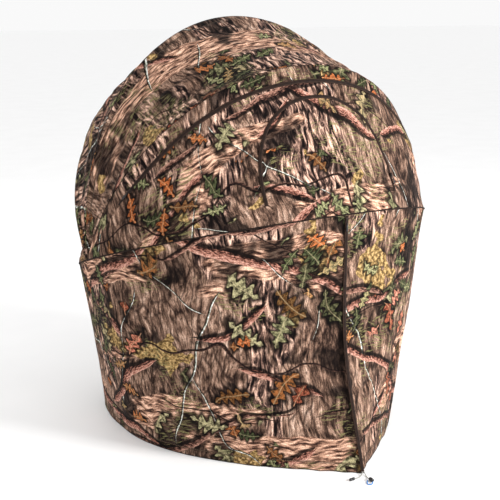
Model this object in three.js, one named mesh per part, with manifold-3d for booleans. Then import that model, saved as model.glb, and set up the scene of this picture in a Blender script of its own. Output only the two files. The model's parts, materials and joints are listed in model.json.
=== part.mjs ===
// A one-person chair blind: a cloth shell on four hoops that turn about one hub axis, a skirt down to
// the ground, and a folding chair inside that carries the hubs. Millimetres, +Z up, -Y is the front.
import * as THREE from "three";
import { mergeVertices } from "three/addons/utils/BufferGeometryUtils.js";
import Module from "manifold-3d";

const wasm = await Module();
wasm.setup();

// ---------------------------------------------------------------- driving dimensions
const HUB_Y = 30;
const HUB_Z = 640;
const SHELL_HALF_WIDTH = 630;
const CLOTH = 1.5;
// Cloth radius and angle (from the front horizontal, about the hub axis) where each hoop carries it.
const RING_FRONT = { radius: 559, angle: 18 };
const RING_REAR = { radius: 516, angle: 198 };
const ZIP_ARC = { radius: 655, angle: 59.5, end_droop: 10 };
const FRONT_HOOP = { radius: 690, angle: 62.7 };
const TOP_HOOP = { radius: 770, angle: 99.3 };
const REAR_HOOP = { radius: 730, angle: 137 };
// Hoop tubes run inside the cloth and stack along the hub bolt.
const HOOP_TUBE_R = 4.75;
const HOOP_INSET = 9;
const HUB_STACK = { ring: 612, rear: 600, top: 588, front: 576 };
const EYE_R = 15;
const EYE_THICK = 3;
const BOLT_R = 4;
const CLEAR = 0.3;
const EYE_HOLE_REACH = 8;
const HOOP_END_GAP = 7;
const NUT = { radius: 12, thick: 3.5 };
// The cloth's rows start HUB_FAN_T degrees from each hub, where the hoops come together.
const HUB_FAN_T = 4.5;
const SEAM_GAP_DEG = 0.6;
// Hem outline on the ground, measured from a point HEM_BACK behind the hub axis.
const HEM_HALF_WIDTH = 495;
const HEM_BACK = 60;
const HEM_FRONT = 519;
const HEM_PROW = 186;
const HEM_REAR = 525;
const HEM_REAR_POWER = 2.4;
const PROW_SAG = 45;
const PROW_SAG_SPREAD = 25;
// Window in the front panel, measured up the panel from the ring seam.
const WINDOW_BASE = 66;
const WINDOW_HALF_WIDTH = 245;
const WINDOW_HEIGHT = 321;
const WINDOW_POWERS = { side: 2.2, top: 2.6 };
// Zips
const TAPE_WIDTH = 24;
const TAPE_THICK = 1;
const TAPE_LIFT = 0.5;
const ARC_TAPE_LIFT = 3.4;
const SLIDER = { width: 10, length: 15, height: 5 };
// A tab turns about a line TAB.gap beyond its slider and TAB.rise above it.
const TAB = { width: 7, length: 26, thick: 1.6, gap: 1, rise: 0.6, root: 0.2 };
// Chair
const CHAIR_TUBE_R = 11;
const POST_X = 255;
const POST_FOOT_Y = -330;
const POST_AT_HUB_Y = -26;
const POST_TOP_Z = 1010;
const POST_BEND = 45;
const SEAT_X = 226;
const SEAT_Z = 430;
const SEAT_FRONT_Y = -380;
const SEAT_REAR_Y = 0;
const SEAT_DROP = 14;
const SEAT_BEND = 40;
const LEG_X = 284;
const LEG_PIVOT_Z = 550;
const LEG_FOOT_Y = 230;
const LEG_CROSS_Z = 90;
const FRONT_CROSS_Z = 62;
const CROSS_TUBE_R = 8;
const CAP_R = 16;
const CAP_H = 14;
const BAR_R = 12.5;
const BAR_HALF_LENGTH = 566;
const CLAMP = { halfWidth: 14, behind: 17, ahead: 18, halfHeight: 18 };
const CLAMP_HOLE_REACH = 60;
const SLING_THICK = 3;
const SLING_EDGE_GAP = 6;
const SLING_END_GAP = 14;
const SLING_DIP = { seat: 18, back: 14 };
const BACK_SLING = { overHub: 40, underTop: 50 };
const SEAT_BOLT_R = 4;
const BOLT_HEAD = { radius: 7.5, thick: 3 };
const HOLE_REACH = 15;
// Legs are drawn a little below the floor and cut level with their caps.
const BELOW_FLOOR = 20;
// Stake ties
const CORD_R = 1.5;
const REST_GAP = 0.2;
const TOGGLE = { radius: 4.5, length: 20 };
const LOCK = { radius: 6, length: 17 };

const DEG = Math.PI / 180;
const V = (x, y, z) => new THREE.Vector3(x, y, z);

// How finely the surfaces are stepped
const SHELL_STEPS = 28;
const SKIRT_STEPS = 22;
const SKIRT_ROWS = 7;
const HOOP_SIDES = 8;
const HOOP_STEPS = 28;
const WINDOW_STEPS = 20;
const WINDOW_CORNER_DEG = 2.5;
const ARC_STEPS = 28;

// ---------------------------------------------------------------- materials
const CAMO = { color: 0x6b543f, roughness: 0.9, metalness: 0 };
const TAPE = { color: 0x33241c, roughness: 0.85, metalness: 0 };
const STEEL = { color: 0x23251f, roughness: 0.5, metalness: 0.6 };
const ALUMINIUM = { color: 0x8d8f90, roughness: 0.4, metalness: 0.9 };
const BRASS = { color: 0x4a3b26, roughness: 0.45, metalness: 0.8 };
const PLASTIC = { color: 0x151515, roughness: 0.5, metalness: 0 };
const SLING = { color: 0x2b2d25, roughness: 0.9, metalness: 0 };
const CORD = { color: 0xb9b7ae, roughness: 0.8, metalness: 0 };
const BLUE = { color: 0x2a8fd0, roughness: 0.5, metalness: 0 };

const blind = new THREE.Group();

function part(name, geometry, look) {
  const mesh = new THREE.Mesh(geometry, new THREE.MeshStandardMaterial(look));
  mesh.name = name;
  blind.add(mesh);
  return mesh;
}

// ---------------------------------------------------------------- solids
function toSolid(geometry) {
  const bare = geometry.clone();
  bare.deleteAttribute("normal");
  bare.deleteAttribute("uv");
  const merged = mergeVertices(bare, 1e-3);
  return new wasm.Manifold(
    new wasm.Mesh({
      numProp: 3,
      vertProperties: merged.attributes.position.array,
      triVerts: new Uint32Array(merged.index.array),
    }),
  );
}

function toGeometry(solid) {
  const mesh = solid.getMesh();
  const geometry = new THREE.BufferGeometry();
  geometry.setAttribute("position", new THREE.BufferAttribute(new Float32Array(mesh.vertProperties), 3));
  geometry.setIndex(new THREE.BufferAttribute(new Uint32Array(mesh.triVerts), 1));
  geometry.computeVertexNormals();
  return geometry;
}

class PathCurve extends THREE.Curve {
  constructor(at) {
    super();
    this.at = at;
  }
  getPoint(t, target = new THREE.Vector3()) {
    return target.copy(this.at(t));
  }
  // Steps follow the path's own parameter, so a straight run takes one step.
  getPointAt(t, target) {
    return this.getPoint(t, target);
  }
  getTangentAt(t, target) {
    return this.getTangent(t, target);
  }
}

function tube(curve, radius, sides, steps) {
  const ring = new THREE.Shape();
  for (let i = 0; i < sides; i++) {
    const a = (2 * Math.PI * i) / sides;
    if (i === 0) ring.moveTo(radius, 0);
    else ring.lineTo(radius * Math.cos(a), radius * Math.sin(a));
  }
  ring.closePath();
  return new THREE.ExtrudeGeometry(ring, { steps, extrudePath: curve, bevelEnabled: false });
}

// A tube through corner points, each corner rounded over the length bend.
function bentTube(corners, bend, radius, sides = 10) {
  const pts = [corners[0].clone()];
  for (let i = 1; i < corners.length - 1; i++) {
    const from = corners[i].clone().sub(corners[i - 1]).normalize();
    const to = corners[i + 1].clone().sub(corners[i]).normalize();
    const start = corners[i].clone().addScaledVector(from, -bend);
    const end = corners[i].clone().addScaledVector(to, bend);
    const arc = new THREE.QuadraticBezierCurve3(start, corners[i], end);
    pts.push(...arc.getPoints(5));
  }
  pts.push(corners[corners.length - 1].clone());
  const runs = pts.length - 1;
  const at = (t) => {
    const k = Math.min(runs - 1, Math.floor(t * runs));
    return pts[k].clone().lerp(pts[k + 1], t * runs - k);
  };
  return tube(new PathCurve(at), radius, sides, runs);
}

function rod(from, to, radius, sides = 12) {
  const axis = to.clone().sub(from);
  const geometry = new THREE.CylinderGeometry(radius, radius, axis.length(), sides);
  const turn = new THREE.Quaternion().setFromUnitVectors(V(0, 1, 0), axis.clone().normalize());
  geometry.applyQuaternion(turn);
  const middle = from.clone().add(to).multiplyScalar(0.5);
  geometry.translate(middle.x, middle.y, middle.z);
  return geometry;
}

function brick(low, high) {
  const size = high.clone().sub(low);
  const geometry = new THREE.BoxGeometry(size.x, size.y, size.z);
  return geometry.translate((low.x + high.x) / 2, (low.y + high.y) / 2, (low.z + high.z) / 2);
}

function normalAt(surface, u, v) {
  const e = 1e-3;
  const du = surface(Math.min(1, u + e), v).sub(surface(Math.max(0, u - e), v));
  const dv = surface(u, Math.min(1, v + e)).sub(surface(u, Math.max(0, v - e)));
  return du.cross(dv).normalize();
}

// A closed sheet: the surface for u and v from 0 to 1, thickened inwards, never below the ground.
function sheet(surface, across, along, thick = CLOTH) {
  const outwards = normalAt(surface, 0.5, 0.5);
  const middle = surface(0.5, 0.5).sub(V(0, HUB_Y, HUB_Z / 2));
  const side = outwards.dot(middle) > 0 ? 1 : -1;
  const points = [];
  for (const layer of [0, 1]) {
    for (let i = 0; i <= across; i++) {
      for (let j = 0; j <= along; j++) {
        const u = i / across;
        const v = j / along;
        const p = surface(u, v).addScaledVector(normalAt(surface, u, v), -side * thick * layer);
        points.push(p.x, p.y, Math.max(0, p.z));
      }
    }
  }
  const id = (layer, i, j) => layer * (across + 1) * (along + 1) + i * (along + 1) + j;
  const faces = [];
  const quad = (a, b, c, d) => {
    if (side > 0) faces.push(a, b, c, a, c, d);
    else faces.push(a, c, b, a, d, c);
  };
  for (let i = 0; i < across; i++) {
    for (let j = 0; j < along; j++) {
      quad(id(0, i, j), id(0, i + 1, j), id(0, i + 1, j + 1), id(0, i, j + 1));
      quad(id(1, i, j), id(1, i, j + 1), id(1, i + 1, j + 1), id(1, i + 1, j));
    }
    quad(id(1, i, 0), id(1, i + 1, 0), id(0, i + 1, 0), id(0, i, 0));
    quad(id(0, i, along), id(0, i + 1, along), id(1, i + 1, along), id(1, i, along));
  }
  for (let j = 0; j < along; j++) {
    quad(id(0, 0, j), id(0, 0, j + 1), id(1, 0, j + 1), id(1, 0, j));
    quad(id(1, across, j), id(1, across, j + 1), id(0, across, j + 1), id(0, across, j));
  }
  const geometry = new THREE.BufferGeometry();
  geometry.setAttribute("position", new THREE.Float32BufferAttribute(points, 3));
  geometry.setIndex(faces);
  geometry.computeVertexNormals();
  return geometry;
}

// A flat tape along stations {p, n, t}: position, outward normal and direction of travel.
function tape(stations, width, thick, lift) {
  const edge = (s, w, h) => {
    const side = s.n.clone().cross(s.t).normalize();
    return s.p.clone().addScaledVector(side, w).addScaledVector(s.n, h);
  };
  const points = [];
  for (const s of stations) {
    for (const [w, h] of [[-1, lift], [1, lift], [1, lift + thick], [-1, lift + thick]]) {
      const p = edge(s, (w * width) / 2, h);
      points.push(p.x, p.y, Math.max(0, p.z));
    }
  }
  const faces = [];
  const last = stations.length - 1;
  for (let i = 0; i < last; i++) {
    for (let k = 0; k < 4; k++) {
      const a = 4 * i + k;
      const b = 4 * i + ((k + 1) % 4);
      faces.push(a, b, b + 4, a, b + 4, a + 4);
    }
  }
  faces.push(0, 2, 1, 0, 3, 2);
  faces.push(4 * last, 4 * last + 1, 4 * last + 2, 4 * last, 4 * last + 2, 4 * last + 3);
  const geometry = new THREE.BufferGeometry();
  geometry.setAttribute("position", new THREE.Float32BufferAttribute(points, 3));
  geometry.setIndex(faces);
  if (toSolid(geometry).volume() < 0) {
    for (let i = 0; i < faces.length; i += 3) [faces[i + 1], faces[i + 2]] = [faces[i + 2], faces[i + 1]];
    geometry.setIndex(faces);
  }
  geometry.computeVertexNormals();
  return geometry;
}

// ---------------------------------------------------------------- shell surfaces
// A point of a half ellipse about the hub axis: turn 0 is the +X hub and 180 the -X hub.
function arcPoint(halfWidth, radius, angle, turn) {
  const reach = radius * Math.sin(turn * DEG);
  return V(
    halfWidth * Math.cos(turn * DEG),
    HUB_Y - reach * Math.cos(angle * DEG),
    HUB_Z + reach * Math.sin(angle * DEG),
  );
}

const fanTurn = (u) => HUB_FAN_T + u * (180 - 2 * HUB_FAN_T);
const seamPoint = (hoop, angle, turn) => arcPoint(SHELL_HALF_WIDTH, hoop.radius, angle, turn);

// Cloth stretched straight from one hoop to the next.
function gore(from, to) {
  const lift = to.angle > from.angle ? SEAM_GAP_DEG : -SEAM_GAP_DEG;
  return (u, v) => {
    const turn = fanTurn(u);
    const a = seamPoint(from, from.angle + lift, turn);
    const b = seamPoint(to, to.angle - lift, turn);
    return a.lerp(b, v);
  };
}

const zipAngle = (turn) => ZIP_ARC.angle - ZIP_ARC.end_droop * Math.cos(turn * DEG) ** 4;
const zipPoint = (turn, shift = 0) => seamPoint(ZIP_ARC, zipAngle(turn) + shift, turn);

function visorSurface(u, v) {
  const turn = fanTurn(u);
  const top = seamPoint(FRONT_HOOP, FRONT_HOOP.angle - SEAM_GAP_DEG, turn);
  return zipPoint(turn, SEAM_GAP_DEG / 2).lerp(top, v);
}

function panelSurface(u, v) {
  const turn = fanTurn(u);
  const low = seamPoint(RING_FRONT, RING_FRONT.angle + SEAM_GAP_DEG, turn);
  return low.lerp(zipPoint(turn, -SEAM_GAP_DEG / 2), v);
}

// Ring seam and hem at an angle round the blind: 0 is the front, 90 the side, 180 the rear.
function ringPoint(around, side) {
  const hoop = around <= 90 ? RING_FRONT : RING_REAR;
  const p = seamPoint(hoop, hoop.angle, 90 - Math.min(around, 180 - around));
  p.x *= side;
  return p;
}

function hemPoint(around, side) {
  const across = Math.sin(around * DEG);
  const ahead = Math.cos(around * DEG);
  const back = HUB_Y + HEM_BACK;
  if (ahead >= 0) {
    return V(side * HEM_HALF_WIDTH * across, back - HEM_FRONT * ahead - HEM_PROW * (1 - across) ** 2, 0);
  }
  const power = 2 / HEM_REAR_POWER;
  return V(side * HEM_HALF_WIDTH * across ** power, back + HEM_REAR * (-ahead) ** power, 0);
}

const SKIRT_GAP = 0.12;
const SKIRT_TOP = 0.003;
function skirtPoint(around, down, side) {
  const p = ringPoint(around, side).lerp(hemPoint(around, side), down);
  const sag = PROW_SAG * Math.exp(-((around / PROW_SAG_SPREAD) ** 2)) * Math.sin(Math.PI * down);
  p.y += sag;
  return p;
}
const skirtSurface = (side) => (u, v) =>
  skirtPoint(SKIRT_GAP + u * (180 - 2 * SKIRT_GAP), SKIRT_TOP + v * (1 - SKIRT_TOP), side);

// ---------------------------------------------------------------- hoops
function hoopTube(halfWidth, hoop) {
  const sweep = (t) => arcPoint(halfWidth, hoop.radius - HOOP_INSET, hoop.angle, t * 180);
  const start = Math.asin(HOOP_END_GAP / (hoop.radius - HOOP_INSET)) / Math.PI;
  const curve = new PathCurve((t) => sweep(start + t * (1 - 2 * start)));
  return toSolid(tube(curve, HOOP_TUBE_R, HOOP_SIDES, HOOP_STEPS));
}

function withEyes(solid, halfWidth) {
  let made = solid;
  for (const side of [-1, 1]) {
    const x = side * halfWidth;
    const disc = rod(V(x - EYE_THICK / 2, HUB_Y, HUB_Z), V(x + EYE_THICK / 2, HUB_Y, HUB_Z), EYE_R, 16);
    made = made.add(toSolid(disc));
  }
  for (const side of [-1, 1]) {
    const x = side * halfWidth;
    const from = V(x - EYE_HOLE_REACH, HUB_Y, HUB_Z);
    const hole = rod(from, V(x + EYE_HOLE_REACH, HUB_Y, HUB_Z), BOLT_R + CLEAR, 12);
    made = made.subtract(toSolid(hole));
  }
  return made;
}

function hoop(name, halfWidth, at) {
  part(name, toGeometry(withEyes(hoopTube(halfWidth, at), halfWidth)), ALUMINIUM);
}

// The ring hoop is two half ellipses, a front and a rear one, joined at its eyes.
const ringHalves = hoopTube(HUB_STACK.ring, RING_FRONT).add(hoopTube(HUB_STACK.ring, RING_REAR));
part("ring_hoop", toGeometry(withEyes(ringHalves, HUB_STACK.ring)), ALUMINIUM);
hoop("rear_hoop", HUB_STACK.rear, REAR_HOOP);
hoop("top_hoop", HUB_STACK.top, TOP_HOOP);
hoop("front_hoop", HUB_STACK.front, FRONT_HOOP);

// ---------------------------------------------------------------- cloth
part("rear_gore", sheet(gore(REAR_HOOP, RING_REAR), SHELL_STEPS, 3), CAMO);
part("crown_rear_gore", sheet(gore(TOP_HOOP, REAR_HOOP), SHELL_STEPS, 2), CAMO);
part("crown_front_gore", sheet(gore(FRONT_HOOP, TOP_HOOP), SHELL_STEPS, 2), CAMO);
part("visor_lip", sheet(visorSurface, SHELL_STEPS, 1), CAMO);
for (const [name, side] of [["skirt_left", 1], ["skirt_right", -1]]) {
  part(name, sheet(skirtSurface(side), SKIRT_STEPS, SKIRT_ROWS), CAMO);
}

// Panel frame at the middle: up the panel, and outwards from it.
const panelFoot = panelSurface(0.5, 0);
const panelUp = panelSurface(0.5, 1).sub(panelFoot).normalize();
const panelOut = V(0, -panelUp.z, panelUp.y);

// The window's arch at an angle from its +X foot, as (x, distance up the panel).
function windowRim(degrees, grow) {
  const across = Math.cos(degrees * DEG);
  const width = (WINDOW_HALF_WIDTH + grow) * Math.abs(across) ** (2 / WINDOW_POWERS.side);
  const rise = (WINDOW_HEIGHT + grow) * Math.sin(degrees * DEG) ** (2 / WINDOW_POWERS.top);
  return new THREE.Vector2(Math.sign(across) * width, WINDOW_BASE + rise);
}

function windowOutline(grow) {
  const outline = [windowRim(0, grow), windowRim(WINDOW_CORNER_DEG, grow)];
  for (let i = 1; i < WINDOW_STEPS; i++) outline.push(windowRim((180 * i) / WINDOW_STEPS, grow));
  outline.push(windowRim(180 - WINDOW_CORNER_DEG, grow), windowRim(180, grow));
  outline[0].y -= grow;
  outline[outline.length - 1].y -= grow;
  return outline;
}

// The window's outline as a solid through the panel, to cut the flap out of it.
const WINDOW_CUT = { gap: 0.8, inwards: 250, depth: 400 };
function windowPrism(grow) {
  const geometry = new THREE.ExtrudeGeometry(new THREE.Shape(windowOutline(grow)), {
    depth: WINDOW_CUT.depth,
    bevelEnabled: false,
  });
  geometry.translate(0, 0, -WINDOW_CUT.inwards);
  const place = new THREE.Matrix4().makeBasis(V(1, 0, 0), panelUp, panelOut.clone());
  place.setPosition(panelFoot);
  return toSolid(geometry.applyMatrix4(place));
}

const wholePanel = toSolid(sheet(panelSurface, SHELL_STEPS, 3));
part("front_panel", toGeometry(wholePanel.subtract(windowPrism(WINDOW_CUT.gap))), CAMO);
part("window_flap", toGeometry(wholePanel.intersect(windowPrism(-WINDOW_CUT.gap))), CAMO);

// ---------------------------------------------------------------- zip tapes
function stationsOf(positions, outwards) {
  return positions.map((p, i) => {
    const before = positions[Math.max(0, i - 1)];
    const after = positions[Math.min(positions.length - 1, i + 1)];
    const t = after.clone().sub(before).normalize();
    const n = outwards(i).addScaledVector(t, -outwards(i).dot(t)).normalize();
    return { p, n, t };
  });
}

const ARC_END_TURN = 23;
const ARC_SWEEP = 180 - 2 * ARC_END_TURN;
const arcTurns = [];
for (let i = 0; i <= ARC_STEPS; i++) arcTurns.push(180 - ARC_END_TURN - (i / ARC_STEPS) * ARC_SWEEP);
const NEAR_TOP = 0.98;
const panelNormal = (turn) => {
  const u = (turn - HUB_FAN_T) / (180 - 2 * HUB_FAN_T);
  const n = normalAt(panelSurface, u, NEAR_TOP);
  return n.dot(panelOut) > 0 ? n : n.negate();
};
const arcStations = stationsOf(arcTurns.map((a) => zipPoint(a)), (i) => panelNormal(arcTurns[i]));
part("arc_zip_tape", tape(arcStations, TAPE_WIDTH, TAPE_THICK, ARC_TAPE_LIFT), TAPE);

// The panel's surface over a point (x, up) of its flat frame.
function onPanel(x, up) {
  const turn = Math.acos(x / SHELL_HALF_WIDTH) / DEG;
  const u = (turn - HUB_FAN_T) / (180 - 2 * HUB_FAN_T);
  const low = panelSurface(u, 0);
  const high = panelSurface(u, 1);
  const rise = (p) => p.clone().sub(panelFoot).dot(panelUp);
  const v = (up - rise(low)) / (rise(high) - rise(low));
  const n = normalAt(panelSurface, u, v);
  return { p: low.lerp(high, v), n: n.dot(panelOut) > 0 ? n : n.negate() };
}

function panelStations(flat) {
  const on = flat.map((q) => onPanel(q.x, q.y));
  return stationsOf(on.map((w) => w.p), (i) => on[i].n.clone());
}
const windowStations = panelStations(windowOutline(0));
part("window_zip_tape", tape(windowStations, TAPE_WIDTH, TAPE_THICK, TAPE_LIFT), TAPE);

const skirtDowns = Array.from({ length: SKIRT_ROWS + 1 }, (_, i) => SKIRT_TOP + (i / SKIRT_ROWS) * (1 - SKIRT_TOP));
const skirtStations = stationsOf(skirtDowns.map((d) => skirtPoint(0, d, 1)), () => V(0, -1, 0));
part("skirt_zip_tape", tape(skirtStations, TAPE_WIDTH, TAPE_THICK, TAPE_LIFT), TAPE);

// ---------------------------------------------------------------- sliders and pull tabs
// A slider sits on its tape at a station; its tab hangs from it and lies along the tape.
function slider(name, station, height, tabDown) {
  const t = station.t;
  const n = station.n;
  const w = t.clone().cross(n).normalize();
  const basis = new THREE.Matrix4().makeBasis(w, t, n);
  const seat = station.p.clone().addScaledVector(n, height + CLEAR);
  const body = brick(
    V(-SLIDER.width / 2, -SLIDER.length / 2, 0),
    V(SLIDER.width / 2, SLIDER.length / 2, SLIDER.height),
  );
  body.applyMatrix4(basis);
  body.translate(seat.x, seat.y, seat.z);
  part(name + "_slider", body, BRASS);
  const down = tabDown * (SLIDER.length / 2 + TAB.gap + TAB.root);
  const ends = [down, down + tabDown * TAB.length].sort((a, b) => a - b);
  const tabMiddle = SLIDER.height + TAB.rise;
  const tab = brick(
    V(-TAB.width / 2, ends[0], tabMiddle - TAB.thick / 2),
    V(TAB.width / 2, ends[1], tabMiddle + TAB.thick / 2),
  );
  tab.applyMatrix4(basis);
  tab.translate(seat.x, seat.y, seat.z);
  part(name + "_pull_tab", tab, PLASTIC);
}
const WINDOW_PARKED = [4, 5, 6];
const SKIRT_PARKED = [0.01, 0.02, 0.03];
const parked = stationsOf(
  SKIRT_PARKED.map((down) => skirtPoint(0, down, 1)),
  () => V(0, -1, 0),
)[1];
slider("arc_zip", arcStations[1], ARC_TAPE_LIFT + TAPE_THICK, -1);
slider("window_zip", panelStations(WINDOW_PARKED.map((a) => windowRim(a, 0)))[1], TAPE_LIFT + TAPE_THICK, -1);
slider("skirt_zip", parked, 2 * TAPE_LIFT + TAPE_THICK, 1);

// ---------------------------------------------------------------- chair
const postSlope = (POST_AT_HUB_Y - POST_FOOT_Y) / HUB_Z;
const postY = (z) => HUB_Y + POST_AT_HUB_Y + postSlope * (z - HUB_Z);
const FLOOR_CUT = { reach: 700, depth: 200 };
const belowCut = toSolid(
  brick(V(-FLOOR_CUT.reach, -FLOOR_CUT.reach, -FLOOR_CUT.depth), V(FLOOR_CUT.reach, FLOOR_CUT.reach, CAP_H + CLEAR)),
);

// A hole for a pivot bolt along X.
function pivotHole(x, y, z) {
  return toSolid(rod(V(x - HOLE_REACH, y, z), V(x + HOLE_REACH, y, z), SEAT_BOLT_R + CLEAR, 12));
}

function bothSides(solid, x, y, z) {
  return solid.subtract(pivotHole(x, y, z)).subtract(pivotHole(-x, y, z));
}

// A straight tube along X from -x to x.
function crossTube(x, y, z) {
  return toSolid(rod(V(-x, y, z), V(x, y, z), CROSS_TUBE_R));
}

const seatPivotY = postY(SEAT_Z);
const legPivotY = postY(LEG_PIVOT_Z);
const postCorners = [
  V(-POST_X, postY(-BELOW_FLOOR), -BELOW_FLOOR),
  V(-POST_X, postY(POST_TOP_Z), POST_TOP_Z),
  V(POST_X, postY(POST_TOP_Z), POST_TOP_Z),
  V(POST_X, postY(-BELOW_FLOOR), -BELOW_FLOOR),
];
let backFrame = toSolid(bentTube(postCorners, POST_BEND, CHAIR_TUBE_R)).subtract(belowCut);
backFrame = backFrame.add(crossTube(POST_X, postY(FRONT_CROSS_Z), FRONT_CROSS_Z));
backFrame = bothSides(backFrame, POST_X, seatPivotY, SEAT_Z);
backFrame = bothSides(backFrame, POST_X, legPivotY, LEG_PIVOT_Z);
part("chair_back_frame", toGeometry(backFrame), STEEL);

const seatFront = HUB_Y + SEAT_FRONT_Y;
const seatRear = HUB_Y + SEAT_REAR_Y;
const seatSlope = SEAT_DROP / (SEAT_REAR_Y - SEAT_FRONT_Y);
const seatZ = (y) => SEAT_Z - seatSlope * (y - seatPivotY);
const seatCrossY = seatRear - SLING_END_GAP;
const seatCorners = [
  V(-SEAT_X, seatRear, seatZ(seatRear)),
  V(-SEAT_X, seatFront, seatZ(seatFront)),
  V(SEAT_X, seatFront, seatZ(seatFront)),
  V(SEAT_X, seatRear, seatZ(seatRear)),
];
let seatFrame = toSolid(bentTube(seatCorners, SEAT_BEND, CHAIR_TUBE_R));
seatFrame = seatFrame.add(crossTube(SEAT_X, seatCrossY, seatZ(seatCrossY)));
part("seat_frame", toGeometry(bothSides(seatFrame, SEAT_X, seatPivotY, SEAT_Z)), STEEL);

// A taut sling between two side tubes, clear of them all round.
function sling(name, low, high, halfWidth, dip) {
  const surface = (u, v) => {
    const p = low.clone().lerp(high, v);
    p.x = (2 * u - 1) * halfWidth;
    return p.addScaledVector(V(0, -(high.z - low.z), high.y - low.y).normalize(), -dip * Math.sin(Math.PI * u));
  };
  part(name, sheet(surface, 10, 4, SLING_THICK), SLING);
}
const slingEdge = CHAIR_TUBE_R + SLING_EDGE_GAP;
const slingFront = seatFront + SEAT_BEND - 4;
const slingRear = seatCrossY - SLING_END_GAP;
sling(
  "seat_sling",
  V(0, slingFront, seatZ(slingFront)),
  V(0, slingRear, seatZ(slingRear)),
  SEAT_X - slingEdge,
  SLING_DIP.seat,
);
const backLow = HUB_Z + BACK_SLING.overHub;
const backHigh = POST_TOP_Z - BACK_SLING.underTop;
sling(
  "back_sling",
  V(0, postY(backLow), backLow),
  V(0, postY(backHigh), backHigh),
  POST_X - slingEdge,
  SLING_DIP.back,
);

const LEG_OVER_PIVOT = 14;
const legFootY = HUB_Y + LEG_FOOT_Y;
const legAt = (z) => legPivotY + ((legFootY - legPivotY) * (LEG_PIVOT_Z - z)) / LEG_PIVOT_Z;
let rearLegs = crossTube(LEG_X, legAt(LEG_CROSS_Z), LEG_CROSS_Z);
for (const side of [-1, 1]) {
  const foot = V(side * LEG_X, legAt(-BELOW_FLOOR), -BELOW_FLOOR);
  const top = V(side * LEG_X, legAt(LEG_PIVOT_Z + LEG_OVER_PIVOT), LEG_PIVOT_Z + LEG_OVER_PIVOT);
  rearLegs = rearLegs.add(toSolid(rod(foot, top, CHAIR_TUBE_R)));
}
rearLegs = bothSides(rearLegs.subtract(belowCut), LEG_X, legPivotY, LEG_PIVOT_Z);
part("rear_leg_frame", toGeometry(rearLegs), STEEL);

// A bolt along X from inner to outer, with a domed head at each end.
function pivotBolt(name, inner, outer, y, z, side) {
  let bolt = toSolid(rod(V(side * inner, y, z), V(side * outer, y, z), SEAT_BOLT_R));
  for (const [at, way] of [[inner, -1], [outer, 1]]) {
    const headEnd = side * (at + way * BOLT_HEAD.thick);
    bolt = bolt.add(toSolid(rod(V(side * at, y, z), V(headEnd, y, z), BOLT_HEAD.radius)));
  }
  part(name, toGeometry(bolt), ALUMINIUM);
}

function footCap(name, x, y) {
  part(name, rod(V(x, y, 0), V(x, y, CAP_H), CAP_R, 20), PLASTIC);
}

const TUBE_SIDE = CHAIR_TUBE_R + CLEAR;
for (const [word, side] of [["left", 1], ["right", -1]]) {
  pivotBolt("seat_pivot_bolt_" + word, SEAT_X - TUBE_SIDE, POST_X + TUBE_SIDE, seatPivotY, SEAT_Z, side);
  pivotBolt("leg_pivot_bolt_" + word, POST_X - TUBE_SIDE, LEG_X + TUBE_SIDE, legPivotY, LEG_PIVOT_Z, side);
  footCap("front_foot_cap_" + word, side * POST_X, postY(CAP_H + CLEAR));
  footCap("rear_foot_cap_" + word, side * LEG_X, legAt(CAP_H + CLEAR));
}

// ---------------------------------------------------------------- cross bar, clamps and hubs
const onHubAxis = (from, to, radius, sides) => rod(V(from, HUB_Y, HUB_Z), V(to, HUB_Y, HUB_Z), radius, sides);
part("hub_cross_bar", onHubAxis(-BAR_HALF_LENGTH, BAR_HALF_LENGTH, BAR_R, 16), STEEL);
for (const [word, side] of [["left", 1], ["right", -1]]) {
  const x = side * POST_X;
  const clampLow = V(x - CLAMP.halfWidth, HUB_Y + POST_AT_HUB_Y - CLAMP.behind, HUB_Z - CLAMP.halfHeight);
  const clampHigh = V(x + CLAMP.halfWidth, HUB_Y + CLAMP.ahead, HUB_Z + CLAMP.halfHeight);
  const barHole = onHubAxis(x - CLAMP_HOLE_REACH / 2, x + CLAMP_HOLE_REACH / 2, BAR_R + CLEAR, 16);
  const postHole = rod(
    V(x, postY(HUB_Z - CLAMP_HOLE_REACH), HUB_Z - CLAMP_HOLE_REACH),
    V(x, postY(HUB_Z + CLAMP_HOLE_REACH), HUB_Z + CLAMP_HOLE_REACH),
    CHAIR_TUBE_R + 1,
  );
  const clamp = toSolid(brick(clampLow, clampHigh)).subtract(toSolid(barHole)).subtract(toSolid(postHole));
  part("bar_clamp_" + word, toGeometry(clamp), PLASTIC);

  const boltFrom = BAR_HALF_LENGTH + CLEAR;
  const boltTo = HUB_STACK.ring + HOOP_TUBE_R + CLEAR;
  const nutFrom = boltTo + CLEAR;
  part("hub_bolt_" + word, onHubAxis(side * boltFrom, side * boltTo, BOLT_R, 16), ALUMINIUM);
  part("hub_nut_" + word, onHubAxis(side * nutFrom, side * (nutFrom + NUT.thick), NUT.radius, 6), STEEL);
}

// ---------------------------------------------------------------- stake ties
function tie(name, points, look) {
  const curve = new THREE.CatmullRomCurve3(points.map((p) => V(...p)));
  part(name, tube(curve, CORD_R, 8, 14), look);
}
const PROW_Y = hemPoint(0, 1).y;
const TIE_RIGHT = [
  [-3, -3, 8],
  [-8, -8, 5],
  [-16, -14, 2.5],
  [-26, -18, 1.8],
  [-37, -20, 2.4],
  [-46, -21, 4.7],
];
const TIE_LEFT = [
  [2, -3, 8],
  [1, -11, 5],
  [-2, -20, 2.6],
  [-5, -30, 1.8],
  [-8, -39, 2.8],
  [-10, -48, 6.2],
];
const LOOP = [
  [-19, -50, 3],
  [-24, -55, 1.8],
  [-30, -62, 1.8],
  [-32, -70, 1.8],
  [-27, -76, 1.8],
  [-20, -75, 3],
  [-14, -70, 5],
];
const placed = (points) => points.map(([x, y, z]) => [x, PROW_Y + y, z]);
tie("stake_tie_right", placed(TIE_RIGHT), CORD);
tie("stake_tie_left", placed(TIE_LEFT), CORD);
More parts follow.
